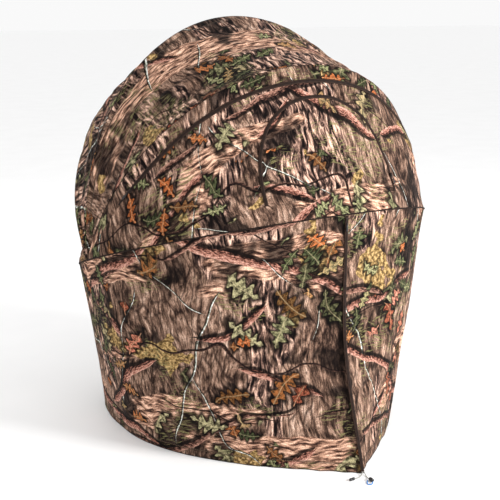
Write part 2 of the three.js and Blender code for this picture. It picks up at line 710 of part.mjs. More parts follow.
tie("stake_tie_loop", placed(LOOP), BLUE);
const toggleAt = V(-47, PROW_Y - 21, TOGGLE.radius + REST_GAP);
part("stake_tie_toggle", rod(toggleAt, toggleAt.clone().add(V(-TOGGLE.length, -1, 0)), TOGGLE.radius, 12), PLASTIC);
const lockAt = V(-10, PROW_Y - 49.2, LOCK.radius + REST_GAP);
part("stake_tie_lock", rod(lockAt, lockAt.clone().add(V(-1, -LOCK.length, 0)), LOCK.radius, 12), PLASTIC);

export default blind;
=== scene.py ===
import itertools
import json
import math
from functools import partialmethod

import bpy
import numpy as np
from mathutils import Matrix, Vector, noise


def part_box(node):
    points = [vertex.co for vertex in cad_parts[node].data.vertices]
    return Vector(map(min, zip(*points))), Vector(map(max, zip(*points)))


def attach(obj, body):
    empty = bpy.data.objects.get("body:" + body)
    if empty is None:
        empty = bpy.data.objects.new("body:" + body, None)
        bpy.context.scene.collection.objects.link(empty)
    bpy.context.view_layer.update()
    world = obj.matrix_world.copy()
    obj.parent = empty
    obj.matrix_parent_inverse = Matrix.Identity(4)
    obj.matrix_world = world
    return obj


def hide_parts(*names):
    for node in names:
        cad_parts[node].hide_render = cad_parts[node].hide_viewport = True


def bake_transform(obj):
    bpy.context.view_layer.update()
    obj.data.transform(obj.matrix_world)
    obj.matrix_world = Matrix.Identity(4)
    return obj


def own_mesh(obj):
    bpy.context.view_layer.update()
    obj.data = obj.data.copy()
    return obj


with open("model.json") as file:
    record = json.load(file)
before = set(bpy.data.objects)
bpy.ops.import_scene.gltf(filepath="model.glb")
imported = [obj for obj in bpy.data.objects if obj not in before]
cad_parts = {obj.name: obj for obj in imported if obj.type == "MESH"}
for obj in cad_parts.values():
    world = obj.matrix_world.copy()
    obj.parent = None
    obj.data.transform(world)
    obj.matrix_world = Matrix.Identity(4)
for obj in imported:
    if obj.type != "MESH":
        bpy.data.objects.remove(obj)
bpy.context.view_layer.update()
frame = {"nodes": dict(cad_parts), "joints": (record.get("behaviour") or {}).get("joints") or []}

JOINTS = {j["name"]: j for j in frame["joints"]}
HUB = Vector(JOINTS["hood_fold"]["pos_m"])
INSIDE = Vector((0, HUB.y, HUB.z * 0.7))

# ---- driving dimensions, in metres and degrees
HALF_WIDTH = 0.630
RING_FRONT = (0.559, 18)
RING_REAR = (0.516, 198)
ZIP_ARC_RADIUS = 0.655
ZIP_ARC_ANGLE = 59.5
ZIP_ARC_DROOP = 10
FRONT_HOOP = (0.690, 62.7)
TOP_HOOP = (0.770, 99.3)
REAR_HOOP = (0.730, 137)
HEM_HALF_WIDTH = 0.495
HEM_BACK = 0.060
HEM_FRONT = 0.519
HEM_PROW = 0.186
HEM_REAR = 0.525
HEM_REAR_POWER = 2.4
PROW_SAG = 0.045
PROW_SAG_SPREAD = 25
WINDOW_BASE = 0.066
WINDOW_HALF_WIDTH = 0.245
WINDOW_HEIGHT = 0.321
WINDOW_SIDE_POWER = 2.2
WINDOW_TOP_POWER = 2.6
TAPE_WIDTH = 0.013
CLOTH_THICK = 0.0009
HUB_TURN = 0.4
SLEEVE_SEAM = 0.028
NO_SEAM = 1.0
NO_SEAMS = (NO_SEAM, NO_SEAM)
FULL_TURN = 6.283
BRAID_LENGTH = 0.003
BRAID_WIDTH = 0.0024
PRINT_DEPTH = 1.38
PRINT_TINT = (1.99, 1.93, 2.43, 1.0)

# ---- small helpers


def srgb(code):
    """A linear colour from a web colour code."""
    values = [int(code[i : i + 2], 16) / 255 for i in (1, 3, 5)]
    linear = [v / 12.92 if v <= 0.04045 else ((v + 0.055) / 1.055) ** 2.4 for v in values]
    return (*linear, 1.0)


def smooth(edge_low, edge_high, value):
    t = np.clip((value - edge_low) / (edge_high - edge_low), 0, 1)
    return t * t * (3 - 2 * t)


def wander(x, y, seed, octaves=3):
    """Smooth noise, about -1 to 1, for arrays x and y."""
    x, y = np.broadcast_arrays(x, y)
    flat = [noise.fractal((a, b, seed), 0.6, 2.0, octaves) for a, b in zip(x.ravel(), y.ravel())]
    return np.reshape(flat, x.shape)


def new_object(name, data):
    piece = bpy.data.objects.new(name, data)
    bpy.context.scene.collection.objects.link(piece)
    return piece


def write_uv(data, name, values):
    """A UV layer from one pair of values for each vertex."""
    layer = data.uv_layers.new(name=name)
    index = np.zeros(len(data.loops), np.int32)
    data.loops.foreach_get("vertex_index", index)
    layer.data.foreach_set("uv", np.asarray(values, np.float32)[index].ravel())


def mesh_piece(name, points, faces, uvs=None, material=None):
    """A smooth-shaded mesh object, with its cloth coordinates in the UV layer "print"."""
    data = bpy.data.meshes.new(name)
    data.from_pydata([tuple(p) for p in points], [], [tuple(f) for f in faces])
    if uvs is not None:
        write_uv(data, "print", uvs)
    data.polygons.foreach_set("use_smooth", [True] * len(data.polygons))
    data.update()
    if material:
        data.materials.append(material)
    return new_object(name, data)


def skin_faces(rings, sides, closed=False):
    """Faces of a tube made of rings of points: its wall, and its two ends unless it is closed."""
    faces = []
    for i in range(rings if closed else rings - 1):
        start, after = i * sides, (i + 1) % rings * sides
        for k in range(sides):
            m = (k + 1) % sides
            faces.append((start + k, start + m, after + m, after + k))
    if not closed:
        faces.append(tuple(range(sides))[::-1])
        faces.append(tuple((rings - 1) * sides + k for k in range(sides)))
    return faces


def grid_faces(rows, columns):
    corners = [i * columns + j for i, j in np.ndindex(rows - 1, columns - 1)]
    return [(a, a + columns, a + columns + 1, a + 1) for a in corners]


def face_outwards(piece):
    """Turns every face round if most of a sample of them look at the middle of the blind."""
    data = piece.data
    sample = list(data.polygons)[:: max(1, len(data.polygons) // 60)]
    if sum((p.center - INSIDE).dot(p.normal) for p in sample) < 0:
        data.flip_normals()


def thicken(piece, thickness=CLOTH_THICK):
    solid = piece.modifiers.new("thickness", "SOLIDIFY")
    solid.thickness = thickness
    solid.offset = -1
    return piece


def tube_mesh(name, path, radius, material, sides=12, closed=False):
    """A round tube along points, with flat ends or joined into a ring."""
    path = [Vector(p) for p in path]
    count = len(path)
    points, uvs = [], []
    tangent = (path[1] - path[0]).normalized()
    normal = tangent.orthogonal().normalized()
    run = 0.0
    for i, p in enumerate(path):
        before, after = path[max(0, i - 1)], path[min(count - 1, i + 1)]
        if closed:
            before, after = path[(i - 1) % count], path[(i + 1) % count]
        tangent = (after - before).normalized()
        normal = (normal - tangent * normal.dot(tangent)).normalized()
        across = tangent.cross(normal)
        run += (p - path[i - 1]).length if i else 0.0
        for k in range(sides):
            a = 2 * math.pi * k / sides
            points.append(p + radius * (normal * math.cos(a) + across * math.sin(a)))
            uvs.append((run, k / sides * 2 * math.pi * radius))
    return mesh_piece(name, points, skin_faces(count, sides, closed), uvs, material)


def smooth_path(points, steps):
    """A Catmull-Rom curve through points, as a list of places."""
    pts = [Vector(p) for p in points]
    pts = [pts[0] * 2 - pts[1]] + pts + [pts[-1] * 2 - pts[-2]]
    out = []
    spans = len(pts) - 3
    for s in range(steps + 1):
        t = s / steps * spans
        k = min(spans - 1, int(t))
        f = t - k
        a, b, c, d = pts[k : k + 4]
        bend, twist = 2 * a - 5 * b + 4 * c - d, 3 * b - a - 3 * c + d
        out.append(0.5 * (2 * b + (c - a) * f + bend * f**2 + twist * f**3))
    return out


# ---- materials


class Shader:
    """A material under construction, with a short word for each node."""

    def __init__(self, name):
        self.material = bpy.data.materials.new(name)
        self.material.use_nodes = True
        self.tree = self.material.node_tree
        self.surface = self.tree.nodes["Principled BSDF"]

    def feed(self, socket, value):
        if isinstance(value, bpy.types.NodeSocket):
            self.tree.links.new(value, socket)
        elif value is not None:
            socket.default_value = value

    def node(self, kind, inputs=None, **settings):
        """A node with its settings, and its inputs by name or number as constants or links."""
        made = self.tree.nodes.new(kind)
        for key, value in settings.items():
            setattr(made, key, value)
        for key, value in (inputs or {}).items():
            self.feed(made.inputs[key], value)
        return made

    def math(self, operation, a, b=None):
        return self.node("ShaderNodeMath", {0: a, 1: b}, operation=operation).outputs[0]

    times = partialmethod(math, "MULTIPLY")
    plus = partialmethod(math, "ADD")
    minus = partialmethod(math, "SUBTRACT")
    over = partialmethod(math, "DIVIDE")
    size = partialmethod(math, "ABSOLUTE")

    def wave(self, value, pitch):
        """A sine that repeats every pitch."""
        return self.math("SINE", self.times(value, 2 * math.pi / pitch))

    def step(self, value, low, high):
        """0 below low, 1 above high and smooth between; low may be the larger, which turns it round."""
        inputs = {"Value": value, "From Min": low, "From Max": high}
        made = self.node("ShaderNodeMapRange", inputs, interpolation_type="SMOOTHSTEP")
        return made.outputs["Result"]

    def place(self, vector, scale=(1, 1, 1), turn=0.0, shift=(0, 0, 0)):
        rotation = (0, 0, math.radians(turn))
        inputs = {"Vector": vector, "Scale": scale, "Rotation": rotation, "Location": shift}
        return self.node("ShaderNodeMapping", inputs).outputs["Vector"]

    def noise(self, vector, scale, detail=3.0, rough=0.55, distortion=0.0, kind="2D", output="Fac"):
        inputs = {"Scale": scale, "Detail": detail, "Roughness": rough, "Distortion": distortion}
        made = self.node("ShaderNodeTexNoise", {"Vector": vector, **inputs}, noise_dimensions=kind)
        return made.outputs[output]

    def cells(self, vector, feature, **inputs):
        inputs = {"Vector": vector, "Scale": 1.0, **inputs}
        return self.node("ShaderNodeTexVoronoi", inputs, voronoi_dimensions="2D", feature=feature).outputs

    def vectors(self, operation, *values):
        made = self.node("ShaderNodeVectorMath", dict(enumerate(values)), operation=operation)
        return made.outputs[0]

    def grain(self, vector, scale, detail=3.0, rough=0.55, distortion=0.0, turn=0.0, shift=(0, 0)):
        """Noise stretched to so many features a metre along each of two directions."""
        placed = self.place(vector, (*scale, 1), turn, (*shift, 0))
        return self.noise(placed, 1.0, detail, rough, distortion)

    def ramp(self, value, stops, interpolation="LINEAR"):
        made = self.node("ShaderNodeValToRGB")
        made.color_ramp.interpolation = interpolation
        self.feed(made.inputs["Fac"], value)
        elements = made.color_ramp.elements
        while len(elements) < len(stops):
            elements.new(0.5)
        for element, (place, colour) in zip(elements, stops):
            element.position = place
            element.color = srgb(colour) if isinstance(colour, str) else colour
        return made.outputs["Color"]

    def mix(self, share, a, b, blend="MIX"):
        a, b = (srgb(colour) if isinstance(colour, str) else colour for colour in (a, b))
        made = self.node("ShaderNodeMix", {0: share, 6: a, 7: b}, data_type="RGBA", blend_type=blend)
        return made.outputs[2]

    def split(self, vector):
        made = self.node("ShaderNodeSeparateXYZ", {0: vector})
        return made.outputs[0], made.outputs[1]

    def bump(self, height, strength, distance, normal=None):
        inputs = {"Strength": strength, "Distance": distance, "Height": height, "Normal": normal}
        return self.node("ShaderNodeBump", inputs).outputs["Normal"]

    def print_uv(self):
        return self.node("ShaderNodeUVMap", uv_map="print").outputs["UV"]

    def finish(self, colour=None, normal=None, **values):
        self.feed(self.surface.inputs["Base Color"], colour)
        self.feed(self.surface.inputs["Normal"], normal)
        for key, value in values.items():
            self.feed(self.surface.inputs[key.replace("_", " ")], value)
        return self.material


def weave_height(s, uv, pitch):
    """Over and under threads at a pitch in metres, as a height."""
    x, y = s.split(uv)
    return s.times(s.wave(x, pitch), s.wave(y, pitch))


def stick_layer(s, uv, below, turn, spacing, half, seed, colours, cover, wobble=0.05):
    """Long broken sticks in one direction: light on the upper side, dark below, with cracks."""
    placed = s.place(uv, turn=turn, shift=(seed * 3.7, seed * 1.9, 0))
    bend = s.noise(placed, 2.1, 2.0)
    a, b = s.split(placed)
    b = s.plus(b, s.times(s.minus(bend, 0.5), wobble * 4))
    b = s.over(b, spacing)
    row = s.math("FLOOR", b)
    chance = s.node("ShaderNodeTexWhiteNoise", {"W": s.plus(row, seed)}, noise_dimensions="1D")
    offset = s.times(s.minus(chance.outputs["Value"], 0.5), 0.5)
    local = s.times(s.minus(s.math("FRACT", b), s.plus(0.5, offset)), spacing)
    in_row = s.node("ShaderNodeCombineXYZ", {0: a, 1: s.times(row, 5.3)}).outputs[0]
    runs = s.noise(in_row, 1.9, 1.0)
    knobs = s.noise(in_row, 17.0, 3.0)
    width = s.times(s.plus(0.6, s.times(knobs, 0.8)), half)
    width = s.times(width, s.step(runs, 1 - cover, 1 - cover + 0.06))
    across = s.over(local, s.math("MAXIMUM", width, 1e-5))
    body = s.step(s.size(local), width, s.times(width, 0.82))
    shadow_at = s.size(s.plus(local, half * 0.7))
    shadow = s.step(shadow_at, s.times(width, 1.5), s.times(width, 0.9))
    grain = s.grain(placed, (75, 210), 4.0, 0.7)
    tone = s.plus(s.times(across, 0.17), s.times(grain, 1.15))
    dark, middle, light = colours
    skin = s.ramp(tone, [(0.38, "#241a16"), (0.49, dark), (0.60, middle), (0.80, light)])
    shaded = s.mix(s.times(shadow, 0.85), below, "#1b1512")
    return s.mix(body, shaded, skin)


def leaf_layer(s, uv, below, scale, seed, palette, cluster, lobes):
    """Lobed leaves scattered one to a cell, each turned its own way, in loose clusters."""
    placed = s.place(uv, scale=(scale, scale, 1), shift=(seed * 5.1, seed * 2.3, 0))
    cell = s.cells(placed, "F1", Randomness=0.85)
    apart = s.vectors("SUBTRACT", placed, cell["Position"])
    chance, other = s.split(cell["Color"])
    inputs = {"Vector": apart, "Angle": s.times(chance, FULL_TURN)}
    spin = s.node("ShaderNodeVectorRotate", inputs, rotation_type="Z_AXIS")
    x, y = s.split(spin.outputs[0])
    y = s.plus(y, s.times(s.times(x, x), 0.35))
    blade = s.minus(1.0, s.times(s.times(x, x), 4.9))
    wave = s.math("COSINE", s.times(x, lobes))
    edge = s.times(blade, s.plus(0.15, s.times(wave, 0.085)))
    side = s.size(y)
    where = s.noise(s.place(uv, shift=(seed, seed, 0)), 2.4, 1.0)
    shown = s.step(where, 1 - cluster, 1 - cluster + 0.02)
    body = s.times(s.step(side, edge, s.minus(edge, 0.02)), shown)
    shade_edge = s.plus(edge, 0.20)
    under = s.times(s.step(side, shade_edge, edge), s.times(shown, 0.9))
    mottle = s.noise(placed, 12.0, 5.0, 0.68)
    pick = s.plus(s.times(other, 0.8), s.times(mottle, 0.2))
    colour = s.ramp(pick, palette)
    light = s.ramp(mottle, [(0.38, "#4c4a48"), (0.6, "#ffffff")])
    colour = s.mix(0.85, colour, light, "MULTIPLY")
    rib = s.step(side, 0.016, 0.006)
    colour = s.mix(s.times(rib, 0.3), colour, "#c4b890")
    return s.mix(body, s.mix(under, below, "#1b1713"), colour)


def seams_with_painted_shade(s, uv, below):
    """The seam along each edge of a cloth with a painted shadow along it, and the stitched line of the
    hoop sleeve or hem beside it in a band of painted shade.
    """
    edges = s.node("ShaderNodeUVMap", uv_map="edges").outputs["UV"]
    low, high = s.split(edges)
    near = s.math("MINIMUM", low, high)
    # painted shadow along the seam at each edge of the cloth
    seam = s.step(near, 0.0034, 0.0008)
    # a band of painted shade round the stitched line; the same band also sinks the bump there
    off_stitch = s.size(s.minus(near, SLEEVE_SEAM))
    shaded_groove = s.step(off_stitch, 0.0055, 0.0006)
    x, y = s.split(uv)
    dash = s.step(s.wave(s.plus(x, y), 0.006), -0.4, 0.1)
    thread = s.times(s.step(off_stitch, 0.0012, 0.0005), dash)
    # painted shade in the band, then the lighter thread, then the painted shadow at the edge seam
    colour = s.mix(s.times(shaded_groove, 0.62), below, "#1a1310")
    colour = s.mix(s.times(thread, 0.7), colour, "#8a745e")
    colour = s.mix(s.times(seam, 0.9), colour, "#140e0b")
    height = s.minus(s.times(thread, 0.4), shaded_groove)
    return colour, s.minus(height, s.times(seam, 0.8))


def make_camo():
    """Printed woodland cloth: bark, sticks and leaves in layers, all worked out from the flat cloth."""
    s = Shader("camo_cloth")
    uv = s.print_uv()
    # upright bark: streaks, slow drift of tone, fibres and cracks
    warp = s.noise(uv, 5.0, 2.0, output="Color")
    bent = s.vectors("MULTIPLY_ADD", warp, (0.07, 0.07, 0), uv)

    streak = s.grain(bent, (62, 17), 5.0, 0.62)
    drift = s.grain(bent, (7, 4), 3.0)
    tone = s.plus(s.times(streak, 0.7), s.times(drift, 0.34))
    base = s.ramp(
        tone,
        [(0.34, "#2b231c"), (0.43, "#56473a"), (0.53, "#87725d"), (0.62, "#ab957c"), (0.74, "#ccb89d")],
    )
    fibre = s.grain(bent, (190, 38), 4.0, 0.75, shift=(2, 5))
    base = s.mix(0.7, base, s.ramp(fibre, [(0.36, "#4d4038"), (0.52, "#ffffff")]), "MULTIPLY")
    cracks = s.cells(s.place(bent, scale=(30, 8, 1)), "DISTANCE_TO_EDGE")
    crack = s.step(cracks["Distance"], 0.0, 0.09)
    base = s.mix(s.times(s.minus(1.0, crack), 0.62), base, "#2a1f1a")

    # lighter trunks, slanted slabs and dark hollows
    rough_bark = s.grain(bent, (80, 19), 4.0, 0.64, 0.4, shift=(4, 9))
    trunk = s.ramp(
        rough_bark,
        [(0.38, "#211a17"), (0.46, "#4c3f36"), (0.53, "#86705e"), (0.62, "#c0a78c"), (0.73, "#dcc6ab")],
    )
    strips = s.grain(bent, (3.3, 1.0), 2.0, shift=(2.2, 7.1))
    base = s.mix(s.step(strips, 0.555, 0.575), base, trunk)

    slab = s.grain(bent, (24, 100), 4.0, 0.65, turn=38, shift=(1, 3))
    slab_tones = [(0.36, "#44342b"), (0.47, "#8a705a"), (0.57, "#bb9e81"), (0.68, "#d6bc9d")]
    slab_colour = s.ramp(slab, slab_tones)
    slabs = s.grain(bent, (1.3, 4.2), 1.0, turn=38, shift=(5.2, 1.1))
    base = s.mix(s.step(slabs, 0.60, 0.615), base, slab_colour)

    gloom = s.grain(bent, (6.5, 5), 3.0, shift=(8.1, 0.4))
    base = s.mix(s.times(s.step(gloom, 0.56, 0.66), 0.82), base, "#1d1815")

    # moss and grass
    mustard_where = s.noise(s.place(uv, shift=(3.3, 8.8, 0)), 4.4, 3.0)
    mustard = s.noise(uv, 90.0, 3.0)
    mustard_colour = s.ramp(mustard, [(0.35, "#5b4c33"), (0.5, "#8d7a50"), (0.65, "#b5a071")])
    base = s.mix(s.step(mustard_where, 0.665, 0.675), base, mustard_colour)

    grass = s.grain(bent, (30, 190), 2.0, turn=63, shift=(6, 2))
    grass_where = s.noise(s.place(uv, shift=(9.3, 2.8, 0)), 4.0, 2.0)
    blades = s.times(s.step(grass, 0.56, 0.60), s.step(grass_where, 0.56, 0.60))
    base = s.mix(s.times(blades, 0.7), base, "#85825a")

    salmon = ("#664a3c", "#9a745f", "#bfa189")
    lichen = ("#5d5d4d", "#a7aa92", "#dfe0cf")
    dark_twig = ("#2a211d", "#4a3a30", "#6a5545")
    brown = ("#43332b", "#7d6250", "#ad8f78")
    for sticks in (
        # turn, spacing, half width, seed, colours, cover, wobble
        (24, 0.38, 0.0135, 1.0, salmon, 0.54),
        (-64, 0.33, 0.0030, 5.0, lichen, 0.46, 0.06),
        (-28, 0.46, 0.0120, 9.0, salmon, 0.50),
        (12, 0.27, 0.0026, 13.0, dark_twig, 0.6, 0.1),
        (52, 0.30, 0.0022, 21.0, lichen, 0.46, 0.07),
        (-12, 0.50, 0.0085, 29.0, brown, 0.5),
    ):
        base = stick_layer(s, uv, base, *sticks)

    rust = [(0.0, "#85553f"), (0.35, "#b17a5b"), (0.6, "#c49378"), (0.8, "#905c45"), (1.0, "#877056")]
    green = [(0.0, "#454a33"), (0.3, "#6e7350"), (0.55, "#a1a277"), (0.75, "#b9794a"), (1.0, "#565d42")]
    dull = [(0.0, "#4a4a32"), (0.3, "#7c7c5a"), (0.55, "#b3ad84"), (0.75, "#93683f"), (1.0, "#4f5236")]
    base = leaf_layer(s, bent, base, 6.6, 2.0, dull, 0.48, 33.0)
    base = leaf_layer(s, bent, base, 8.2, 7.0, rust, 0.36, 26.0)
    base = leaf_layer(s, bent, base, 10.5, 11.0, green, 0.43, 30.0)

    # print grain, depth and tint, then seams with their painted shade and shadow, weave and creases
    speck = s.noise(uv, 330.0, 2.0)
    base = s.mix(0.5, base, s.ramp(speck, [(0.35, "#707070"), (0.6, "#ffffff")]), "MULTIPLY")
    deep = s.node("ShaderNodeGamma", {"Color": base, "Gamma": PRINT_DEPTH})
    base = s.mix(1.0, deep.outputs[0], PRINT_TINT, "MULTIPLY")
    base, seam_height = seams_with_painted_shade(s, uv, base)
    weave = weave_height(s, uv, 0.0011)
    fine = s.bump(weave, 0.25, 0.0003)
    crease = s.noise(s.place(bent, scale=(1, 0.55, 1)), 30.0, 4.0, 0.55)
    normal = s.bump(crease, 0.55, 0.006, fine)
    normal = s.bump(seam_height, 0.8, 0.002, normal)
    sheen = {"Sheen_Weight": 0.015, "Sheen_Roughness": 0.5}
    return s.finish(base, normal, Roughness=0.88, Specular_IOR_Level=0.06, **sheen)


def make_tape():
    """Zip tape: twill at the sides, a row of coil teeth along the middle and a stitch line each side."""
    s = Shader("zip_tape")
    uv = s.print_uv()
    x, y = s.split(uv)
    half = TAPE_WIDTH / 2
    middle = s.step(s.size(y), half * 0.42, half * 0.34)
    coil = s.wave(x, 0.0024)
    twill = s.wave(s.plus(x, y), 0.0012)
    height = s.plus(s.times(coil, middle), s.times(twill, 0.2))
    stitch_at = s.step(s.size(s.minus(s.size(y), half * 0.72)), 0.0006, 0.0003)
    dash = s.step(s.wave(x, 0.0032), -0.3, 0.1)
    stitch = s.times(stitch_at, dash)
    tone = s.noise(uv, 60.0, 3.0)
    colour = s.ramp(tone, [(0.3, "#1d120e"), (0.7, "#33221b")])
    colour = s.mix(s.times(middle, 0.5), colour, "#120b08")
    colour = s.mix(s.times(stitch, 0.5), colour, "#54402f")
    height = s.plus(height, s.times(stitch, 0.6))
    return s.finish(colour, s.bump(height, 0.6, 0.0006), Roughness=0.75, Specular_IOR_Level=0.15)


def make_welt():
    s = Shader("seam_welt")
    x, _ = s.split(s.print_uv())
    tone = s.noise(s.print_uv(), 80.0, 3.0)
    stitches = s.wave(x, 0.0045)
    colour = s.ramp(tone, [(0.3, "#150e0b"), (0.7, "#2a1d17")])
    return s.finish(colour, s.bump(stitches, 0.5, 0.0008), Roughness=0.85, Specular_IOR_Level=0.15)


def make_plain(name, dark, light, rough=0.5, metal=0.0, scale=60.0, bump=0.15, coat=0.0):
    """Moulded, painted or metal surface with uneven tone, fine grain and worn light spots."""
    s = Shader(name)
    coordinates = s.node("ShaderNodeTexCoord").outputs["Object"]
    tone = s.noise(coordinates, scale, 4.0, 0.6, kind="3D")
    wear = s.noise(coordinates, scale * 0.22, 5.0, 0.7, kind="3D")
    colour = s.ramp(tone, [(0.3, dark), (0.72, light)])
    worn = s.step(wear, 0.66, 0.74)
    colour = s.mix(s.times(worn, 0.35), colour, "#8b8780")
    roughness = s.plus(rough - 0.08, s.times(tone, 0.16))
    normal = s.bump(tone, bump, 0.0008)
    return s.finish(colour, normal, Roughness=roughness, Metallic=metal, Coat_Weight=coat)


def make_sling_cloth():
    s = Shader("chair_cloth")
    uv = s.print_uv()
    tone = s.noise(uv, 14.0, 4.0)
    colour = s.ramp(tone, [(0.3, "#23261d"), (0.7, "#3d4032")])
    weave = weave_height(s, uv, 0.0024)
    colour = s.mix(0.3, colour, s.ramp(weave, [(0.2, "#777777"), (0.8, "#ffffff")]), "MULTIPLY")
    return s.finish(colour, s.bump(weave, 0.5, 0.0006), Roughness=0.85)


def make_cord_material(name, dark, light):
    """Braided cord: crossing strands round it."""
    s = Shader(name)
    x, y = s.split(s.print_uv())
    x, y = s.times(x, 1 / BRAID_LENGTH), s.times(y, 1 / BRAID_WIDTH)
    braid = s.times(s.wave(s.plus(x, y), 1.0), s.wave(s.minus(x, y), 1.0))
    colour = s.ramp(braid, [(0.25, dark), (0.75, light)])
    return s.finish(colour, s.bump(braid, 0.5, 0.0004), Roughness=0.6)


CAMO = make_camo()
TAPE = make_tape()
WELT = make_welt()
SLING = make_sling_cloth()
STEEL = make_plain("frame_steel", "#1b1d18", "#30332a", 0.42, 0.3, 40, 0.1, 0.2)
ALUMINIUM = make_plain("hoop_aluminium", "#8c8d8d", "#b4b5b5", 0.35, 0.95, 90, 0.08)
BOLT = make_plain("bolt_steel", "#7c7c7a", "#a9a9a6", 0.3, 1.0, 120, 0.08)
ZIP_METAL = make_plain("zip_metal", "#1a120f", "#31241d", 0.35, 0.7, 300, 0.1)
PULL = make_plain("pull_plastic", "#0b0b0b", "#1c1c1d", 0.45, 0.0, 300, 0.2)
RUBBER = make_plain("cap_rubber", "#0e0e0e", "#222222", 0.75, 0.0, 200, 0.3)
BLACK = make_plain("black_plastic", "#0c0c0d", "#1e1e20", 0.4, 0.0, 200, 0.15, 0.1)
CORD = make_cord_material("tie_cord", "#8d8b84", "#d6d4cc")
BLUE = make_cord_material("tie_blue", "#1270c4", "#3fa6f2")

# ---- the shell's surfaces, as arrays of points


def arc(hoop, turn):
    """Points of a half ellipse about the hub axis, turn in degrees from the +X hub."""
    radius, angle = hoop
    turn, angle = np.radians(turn), np.radians(angle)
    x, reach = HALF_WIDTH * np.cos(turn), radius * np.sin(turn)
    return np.stack([x, HUB.y - reach * np.cos(angle), HUB.z + reach * np.sin(angle)], -1)


def zip_arc(turn):
    """The arched zip: a half ellipse that droops towards the hubs."""
    angle = ZIP_ARC_ANGLE - ZIP_ARC_DROOP * np.cos(np.radians(turn)) ** 4
    return arc((ZIP_ARC_RADIUS, angle), turn)


def ring(around, side):
    """Ring seam at an angle round the blind, 0 in front and 180 behind."""
    front = arc(RING_FRONT, 90 - around)
    back = arc(RING_REAR, around - 90)
    out = np.where((around <= 90)[..., None], front, back)
    out[..., 0] = side * HALF_WIDTH * np.sin(np.radians(around))
    return out


def hem(around, side):
    across, ahead = np.sin(np.radians(around)), np.cos(np.radians(around))
    power = 2 / HEM_REAR_POWER
    front_y = HUB.y + HEM_BACK - HEM_FRONT * ahead - HEM_PROW * (1 - across) ** 2
    back_y = HUB.y + HEM_BACK + HEM_REAR * np.abs(ahead) ** power
    x = np.where(ahead >= 0, across, np.abs(across) ** power) * HEM_HALF_WIDTH * side
    return np.stack([x, np.where(ahead >= 0, front_y, back_y), np.zeros_like(x)], -1)


def skirt_flat(around, down, side):
    """The skirt before its wrinkles."""
    out = ring(around, side) * (1 - down[..., None]) + hem(around, side) * down[..., None]
    sag = PROW_SAG * np.exp(-((around / PROW_SAG_SPREAD) ** 2)) * np.sin(np.pi * down)
    out[..., 1] += sag
    return out


def outward(points):
    """Unit normals of a grid of points, away from the middle of the blind."""
    n = np.cross(np.gradient(points, axis=0), np.gradient(points, axis=1))
    n = n / np.maximum(np.linalg.norm(n, axis=-1, keepdims=True), 1e-12)
    from_middle = points.reshape(-1, 3) - np.array(INSIDE)
    return n if (n.reshape(-1, 3) * from_middle).sum() >= 0 else -n


def edge_distances(points):
    """Distances across a grid from its low and its high edge."""
    gaps = np.linalg.norm(np.diff(points, axis=1), axis=-1)
    run = np.concatenate([np.zeros((len(points), 1)), np.cumsum(gaps, axis=1)], axis=1)
    return run, run[:, -1:] - run


def flat_lengths(points):
    """Distances along and across a grid from its middle, as cloth coordinates in metres."""
    middle = points.shape[1] // 2
    steps = np.linalg.norm(np.diff(points[:, middle], axis=0), axis=-1)
    along = np.concatenate([[0], np.cumsum(steps)])
    along -= along[len(along) // 2]
    across, _ = edge_distances(points)
    across -= across[:, middle : middle + 1]
    return np.broadcast_to(along[:, None], across.shape), across


def cloth_piece(name, node, points, print_shift, edges=NO_SEAMS, keep=None):
    """A camouflage cloth from a grid of points, with its CAD node hidden, and the numbers of the points it
    uses.

    Lengths on the flat cloth make the print's coordinates. keep drops faces, such as a window's.
    """
    along, across = flat_lengths(points)
    u, v = along + print_shift[0], across + print_shift[1]
    faces = grid_faces(*points.shape[:2])
    if keep is not None:
        faces = [f for f, kept in zip(faces, keep.ravel()) if kept]
    used = sorted({i for f in faces for i in f})
    index = {old: new for new, old in enumerate(used)}
    flat = points.reshape(-1, 3)[used]
    uvs = np.stack([u, v], -1).reshape(-1, 2)[used]
    piece = mesh_piece(name, flat, [[index[i] for i in f] for f in faces], uvs, CAMO)
    distances = np.stack([np.broadcast_to(edge, u.shape) for edge in edges], -1)
    write_uv(piece.data, "edges", distances.reshape(-1, 2)[used])
    face_outwards(piece)
    thicken(piece)
    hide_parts(node)
    return piece, used


def blend_across(piece, share, body_a, body_b):
    """Puts each point's share of the way across in its place for a moment, bakes the object's transform
    into the mesh, then puts the points back.
    """
    data = piece.data
    places = np.zeros(len(data.vertices) * 3, np.float32)
    data.vertices.foreach_get("co", places)
    shares = np.zeros((len(data.vertices), 3), np.float32)
    shares[:, 0] = share
    data.vertices.foreach_set("co", shares.ravel())
    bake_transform(piece)
    data.vertices.foreach_set("co", places)
    data.update()


def declare(piece, node, body):
    """The CAD node a piece stands for and the body it moves with."""
    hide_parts(node)
    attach(piece, body)


def drop_with_hood(piece):
    """Gives the piece a copy of its mesh of its own."""
    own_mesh(piece)


# ---- hood cloth

SHOULDER_TURN = 135
SHOULDER_SPREAD = 13
TURNS = np.linspace(HUB_TURN, 180 - HUB_TURN, 181)
SLEEVE = 0.045
SLEEVE_RISE = 0.0022
SLEEVE_STITCH_DIP = 0.0018
PUCKER_DEPTH = 0.0018
FAN_FOLDS = 9
FAN_DEPTH = 0.003


